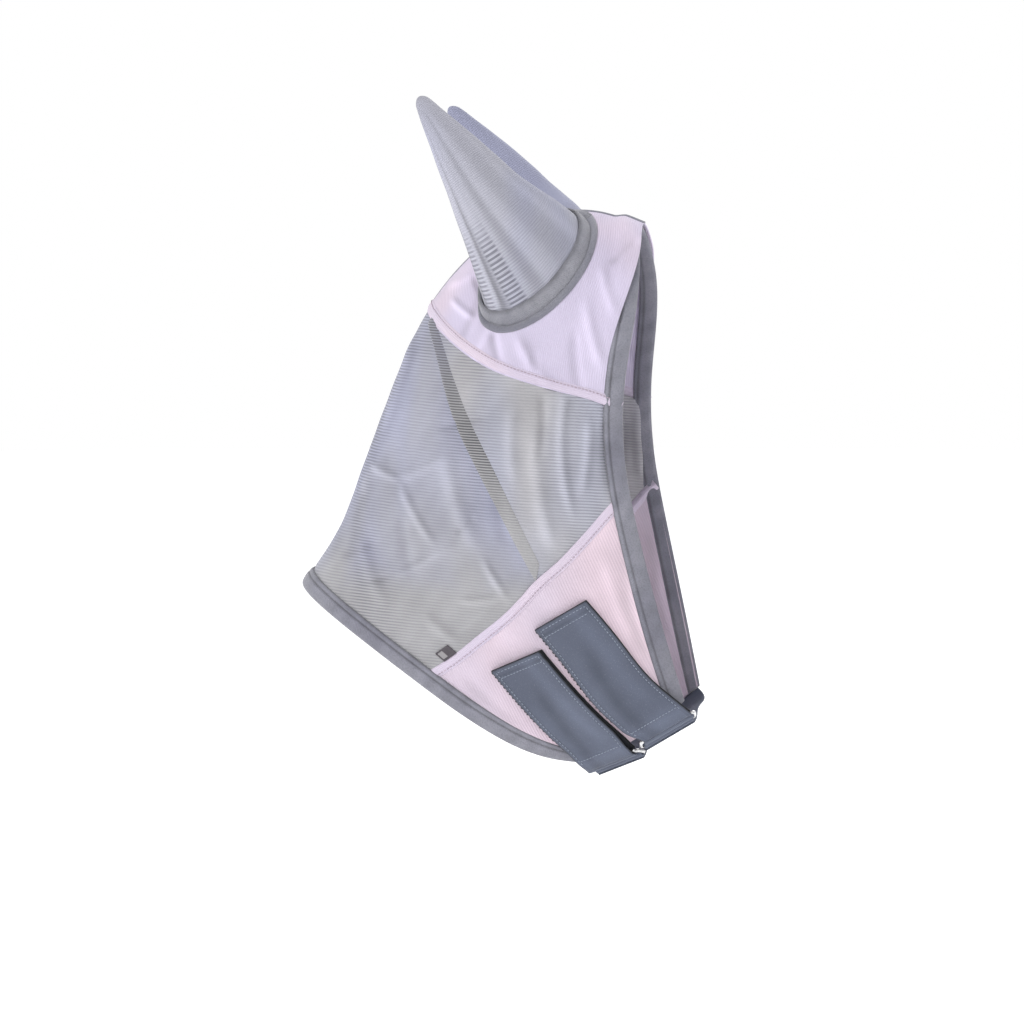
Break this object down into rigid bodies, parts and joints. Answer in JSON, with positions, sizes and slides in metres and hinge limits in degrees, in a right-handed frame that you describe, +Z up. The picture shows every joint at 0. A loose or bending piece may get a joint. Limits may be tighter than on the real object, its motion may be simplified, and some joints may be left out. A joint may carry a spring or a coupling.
{
  "type": "fly mask",
  "caption": "Horse fly mask with ear covers, see-through mesh over the eyes and sides, padded edges and hook-and-loop straps under the jaw.",
  "frame": {"origin": "inside of the crown at the top of the poll, in the mask's middle plane", "axes": "-X the way the horse looks, -Y to the horse's left, +Z up"},
  "size_m": [0.3398, 0.2066, 0.5525],
  "materials": {
    "binding": "soft padded knit",
    "cheek": "smooth pink knit",
    "crown": "fine ribbed pink knit",
    "dart": "dark stitched seam",
    "ear_band": "soft padded knit",
    "ear_knit": "fine ribbed grey knit",
    "face_mesh": "fine ribbed open mesh",
    "hook_tape": "black hook tape",
    "label": "woven, blank",
    "loop_tape": "black loop tape",
    "ring": "polished wire",
    "side_mesh": "fine ribbed open mesh",
    "webbing": "dark slate twill with pale stitching"
  },
  "bodies": {
    "mask": {"cheek_left": "cheek", "cheek_right": "cheek", "crown_left": "crown", "crown_right": "crown", "dart_seam_left": "dart", "dart_seam_right": "dart", "ear_band_left": "ear_band", "ear_band_right": "ear_band", "ear_sleeve_inner_left": "ear_knit", "ear_sleeve_inner_right": "ear_knit", "ear_sleeve_outer_left": "ear_knit", "ear_sleeve_outer_right": "ear_knit", "face_mesh": "face_mesh", "loop_tape_front": "loop_tape", "loop_tape_rear": "loop_tape", "nose_binding": "binding", "poll_binding": "binding", "rear_binding": "binding", "ring_tab_front": "webbing", "ring_tab_rear": "webbing", "side_label": "label", "side_mesh_left": "side_mesh", "side_mesh_right": "side_mesh", "strap_base_front": "webbing", "strap_base_rear": "webbing", "strap_fold_front": "webbing", "strap_fold_rear": "webbing"},
    "ear_left": {"ear_outer_left": "ear_knit", "ear_inner_left": "ear_knit"},
    "ear_right": {"ear_outer_right": "ear_knit", "ear_inner_right": "ear_knit"},
    "flap_rear": {"flap_rear": "webbing", "hook_tape_rear": "hook_tape"},
    "flap_front": {"flap_front": "webbing", "hook_tape_front": "hook_tape"},
    "ring_rear": {"ring_rear": "ring"},
    "ring_front": {"ring_front": "ring"}
  },
  "joints": [
    {"name": "ear_left_swing", "type": "hinge", "parent": "mask", "child": "ear_left", "pos_m": [-0.04074, -0.05626, -0.04543], "axis": [0, 1, 0], "range_deg": [-12, 20]},
    {"name": "ear_right_swing", "type": "hinge", "parent": "mask", "child": "ear_right", "pos_m": [-0.04074, 0.05626, -0.04543], "axis": [0, 1, 0], "range_deg": [-12, 20]},
    {"name": "flap_rear_peel", "type": "hinge", "parent": "mask", "child": "flap_rear", "pos_m": [0.06691, -0.05963, -0.40941], "axis": [0.8204, 0.3003, 0.4865], "range_deg": [0, 140], "deforming": ["strap_fold_rear"]},
    {"name": "flap_front_peel", "type": "hinge", "parent": "mask", "child": "flap_front", "pos_m": [0.02017, -0.05233, -0.43848], "axis": [0.8725, -0.2902, 0.3931], "range_deg": [0, 140], "deforming": ["strap_fold_front"]},
    {"name": "ring_rear_tilt", "type": "hinge", "parent": "mask", "child": "ring_rear", "pos_m": [0.06567, -0.04778, -0.41463], "axis": [0.8204, 0.3003, 0.4865], "range_deg": [-2, 2]},
    {"name": "ring_front_tilt", "type": "hinge", "parent": "mask", "child": "ring_front", "pos_m": [0.02523, -0.04064, -0.44107], "axis": [0.8725, -0.2902, 0.3931], "range_deg": [-2, 2]}
  ]
}
